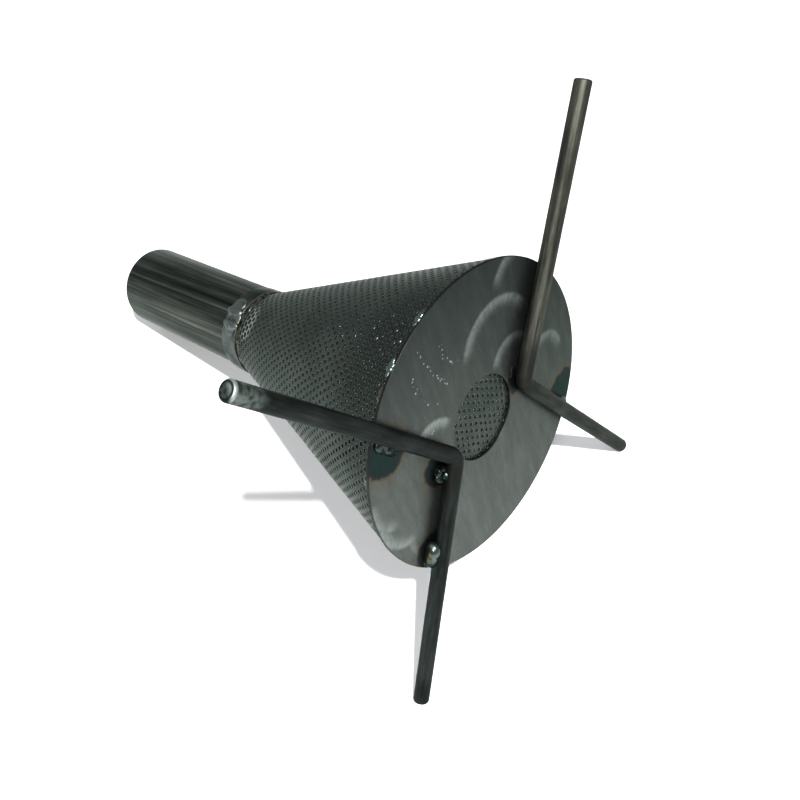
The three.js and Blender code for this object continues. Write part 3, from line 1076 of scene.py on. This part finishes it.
for number, (tack, (arm_angle, hand, look, parts)) in enumerate(bar_tacks.items()):
    along_arm = spoke(math.radians(arm_angle))
    off_arm = spoke(math.radians(arm_angle + 90 * hand))
    place = node_place(tack)
    lumps = []
    for (along, off, height), half in parts:
        spot = place + along_arm * along + off_arm * off + Vector((0, 0, height))
        lumps.append((spot, half, math.radians(arm_angle), 0.0))
    stop = weld_bead(tack.replace("_tack_", "_stop_"), lumps, 0.00008, 40 + number, 0.0003)
    *finish_parts, crater = stop_looks[look]
    if crater:
        crater = (place + along_arm * crater[0], crater[1])
    flanks = (place + off_arm * 0.0012, off_arm) if look == "golden" else None
    stop.data.materials.append(
        weld_steel(f"{look}_stop_metal_{number + 1}", *finish_parts, crater, flanks))
    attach(stop, "root")
    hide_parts(tack)


# ---- Rim tacks ----------------------------------------------------------------------------------
# Thirteen small tacks round the edge, where the cone's wide end meets the back of the plate. Two on
# the upper left are bright and stand proud, and the others are scorched brown.

bright_rim = (2, 3)
glossy_rim = weld_steel("glossy_rim_metal", (0.110, 0.145, 0.140), (0.065, 0.085, 0.080),
                        (0.020, 0.030, 0.028), 0.10, 0.06, 0.22)
under_rim = cone_base - 0.0003
for number in range(1, 14):
    place = node_place(f"rim_tack_{number}")
    turn = math.atan2(place.y, place.x)
    round_rim = spoke(turn + math.pi / 2)
    outward = spoke(turn)
    chance = random.Random(number)
    proud = 0.0007 if number in bright_rim else 0.0
    lumps = []
    for spread, size in ((-0.0032, 0.75), (-0.0012, 1.1), (0.0010, 1.25), (0.0030, 0.8)):
        spot = outward * (under_rim - 0.0003 + proud + chance.uniform(-0.0003, 0.0002))
        spot += round_rim * (spread + chance.uniform(-0.0004, 0.0004))
        spot += Vector((0, 0, place.z + 0.0006))
        half = (0.0011 * size, 0.0015, (0.0013 + chance.uniform(0, 0.0004)) * size)
        lumps.append((spot, half, turn, 0.0))
    dab = weld_bead(f"rim_dab_{number}", lumps, 0.00012, 60 + number, 0.0003)
    dab.data.materials.append(glossy_rim if number in bright_rim else scorched_weld)
    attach(dab, "root")
    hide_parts(f"rim_tack_{number}")


# ---- Bench, light and camera --------------------------------------------------------------------
# The strainer lies on a sheet of white paper under two lamps, a small one high in front and a soft
# one from the left, with plain pale surroundings.

def white_paper():
    material, tree, shader = finish("white_paper")
    fibres = grain(tree, coordinates(tree), 60, detail=4)
    tree.links.new(ramp(tree, fibres, [(0.3, 0.86), (0.7, 0.88)]), shader.inputs["Base Color"])
    shader.inputs["Roughness"].default_value = 0.9
    return material


paper_half = 6.0
paper = piece_from("paper_sweep", [(-1, -1, 0), (1, -1, 0), (1, 1, 0), (-1, 1, 0)], [(0, 1, 2, 3)])
paper.matrix_world = Matrix.Diagonal((paper_half, paper_half, 1, 1))
paper.data.materials.append(white_paper())

# Each lamp: which way it stands from the strainer, how far off, its width and its power.
lamps = {
    "front_lamp": ((-0.225, -0.3245, 0.9187), 1.35, 0.045, 33.5),
    "left_lamp": ((-0.657, -0.30, 0.69), 1.3, 0.35, 9.0),
}
aim = Vector((0, -0.04, 0.09))
for name, (toward, distance, size, power) in lamps.items():
    data = bpy.data.lights.new(name, "AREA")
    data.shape = "DISK"
    data.size = size
    data.energy = power
    placed = bpy.data.objects.new(name, data)
    toward = Vector(toward).normalized()
    placed.location = aim + toward * distance
    placed.rotation_euler = toward.to_track_quat("Z", "Y").to_euler()
    bpy.context.scene.collection.objects.link(placed)

surroundings = bpy.data.worlds.new("pale_room")
surroundings.use_nodes = True
room_light = surroundings.node_tree.nodes["Background"].inputs
room_light["Color"].default_value = (0.95, 0.97, 1.0, 1)
room_light["Strength"].default_value = 0.46
bpy.context.scene.world = surroundings
bpy.context.scene.view_settings.view_transform = "Standard"

view_from = Vector((-0.18582, -0.21064, 0.42422))
view_to = Vector((0.00813, -0.05486, 0.06961))
view_roll = math.radians(0.68)
lens = bpy.data.cameras.new("bench_camera")
lens.lens = 36.95
lens.sensor_width = 36
camera = bpy.data.objects.new("bench_camera", lens)
facing = (view_from - view_to).to_track_quat("Z", "Y").to_matrix().to_4x4()
camera.matrix_world = Matrix.Translation(view_from) @ facing @ Matrix.Rotation(view_roll, 4, "Z")
bpy.context.scene.collection.objects.link(camera)
bpy.context.scene.camera = camera
